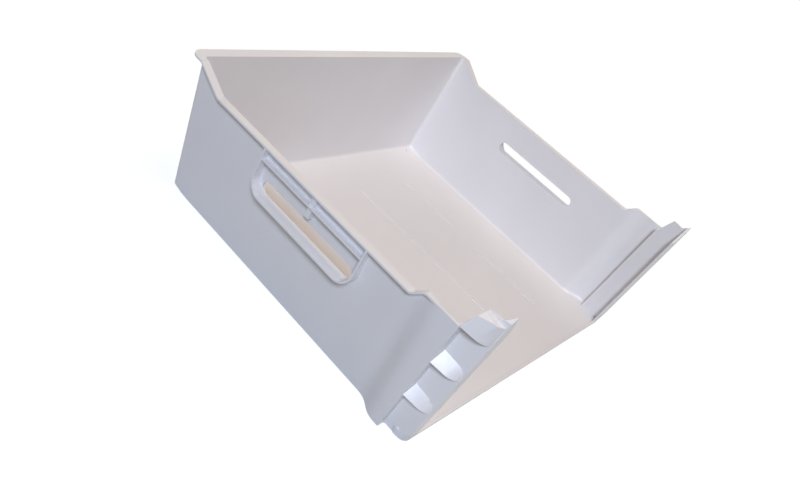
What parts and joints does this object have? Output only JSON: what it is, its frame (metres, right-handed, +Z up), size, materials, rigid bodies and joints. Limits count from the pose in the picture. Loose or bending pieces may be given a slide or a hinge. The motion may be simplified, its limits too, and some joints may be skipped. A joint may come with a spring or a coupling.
{
  "type": "freezer drawer tub",
  "caption": "Open-fronted moulded freezer drawer tub with leaning walls, an outward rim, finger slots in the sides and clip posts for a separate front panel.",
  "frame": {"origin": "middle of the tub's box, on the surface it stands on", "axes": "+X to the right across the width, +Y to the back of the drawer, +Z up"},
  "size_m": [0.431, 0.3656, 0.162],
  "materials": {
    "tub_plastic": "satin moulded"
  },
  "bodies": {
    "root": {"drawer_tub": "tub_plastic"}
  },
  "joints": []
}
